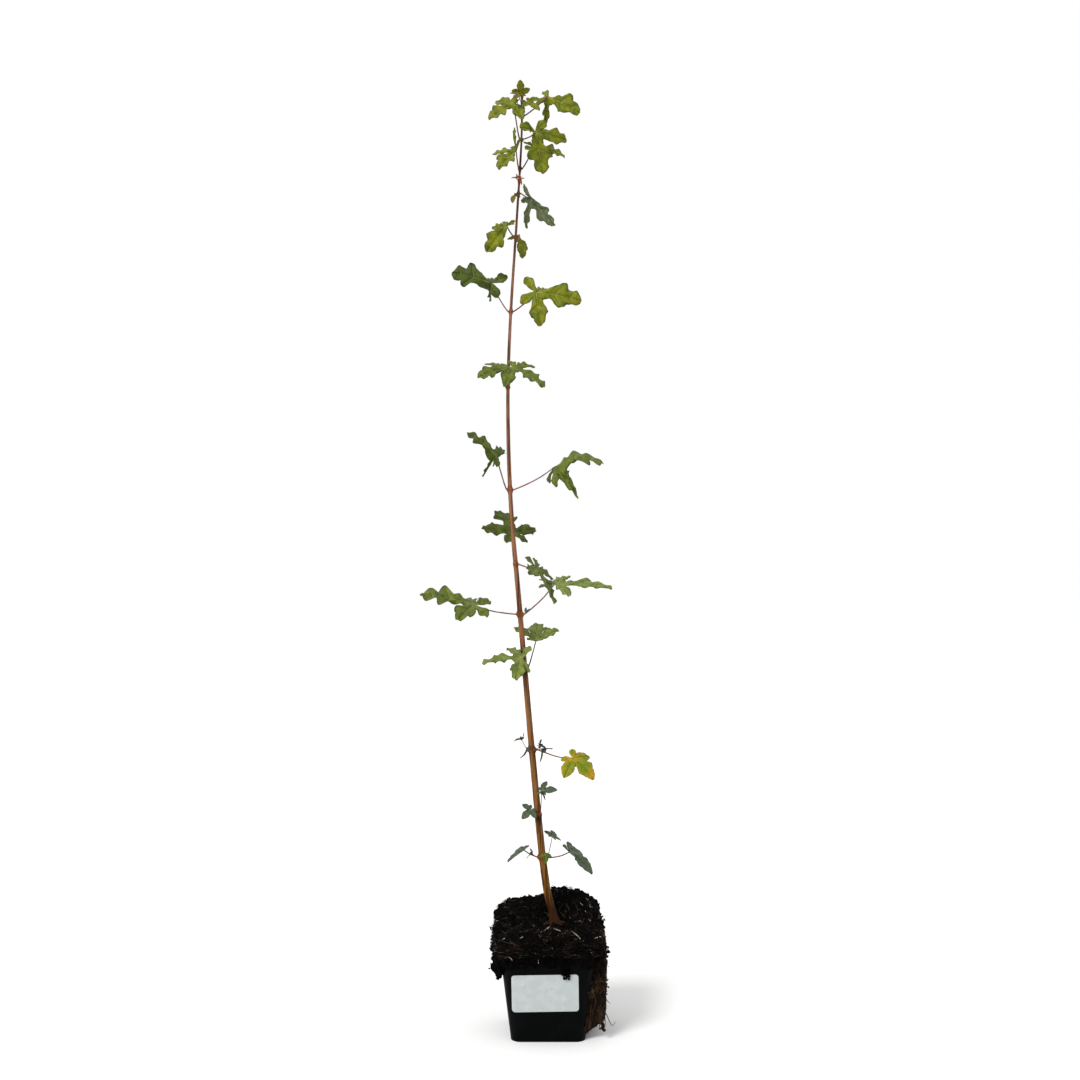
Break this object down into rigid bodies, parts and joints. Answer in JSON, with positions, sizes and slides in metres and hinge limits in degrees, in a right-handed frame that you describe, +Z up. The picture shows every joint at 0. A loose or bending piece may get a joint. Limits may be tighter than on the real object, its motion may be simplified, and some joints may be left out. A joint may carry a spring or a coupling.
{
  "type": "potted field maple sapling",
  "caption": "Young single-stemmed field maple with lobed leaves on thin stalks in pairs, in a small square tapered nursery pot whose compost stands proud of the rim.",
  "frame": {"origin": "middle of the flat underside of the pot", "axes": "+Z up, towards the top leaf; -Y out of the pot's front wall with the label; +X to the right seen from the front"},
  "size_m": [0.1919, 0.1124, 0.949],
  "materials": {
    "pot": "black moulded plastic",
    "label": "blank white sticker",
    "compost": "moist dark compost with roots",
    "bark": "smooth young bark",
    "leaf": "thin green leaf",
    "yellow_leaf": "leaf turning yellow"
  },
  "bodies": {
    "root": {"pot": "pot", "label": "label", "root_ball": "compost", "stem": "bark", "leaf_1_left": "leaf", "leaf_1_front": "leaf", "leaf_1_right": "leaf", "leaf_1_far_right": "leaf", "leaf_2_left": "leaf", "leaf_2_right": "leaf", "leaf_3_right": "yellow_leaf", "leaf_4_left": "leaf", "leaf_4_right": "leaf", "leaf_5_left": "leaf", "leaf_5_right": "leaf", "leaf_6_back": "leaf", "leaf_6_right": "leaf", "leaf_7_left": "leaf", "leaf_7_right": "leaf", "leaf_8_left": "leaf", "leaf_8_right": "leaf", "leaf_9_left": "leaf", "leaf_9_right": "leaf", "leaf_10_left": "leaf", "leaf_10_right": "leaf", "leaf_11_left": "leaf", "leaf_11_right": "leaf", "leaf_13_left": "leaf", "leaf_13_right": "leaf", "leaf_14_left": "leaf", "leaf_14_right": "leaf", "leaf_15_left": "leaf", "leaf_15_right": "leaf", "leaf_16_left": "leaf", "leaf_16_right": "leaf", "leaf_17": "leaf"}
  },
  "joints": []
}
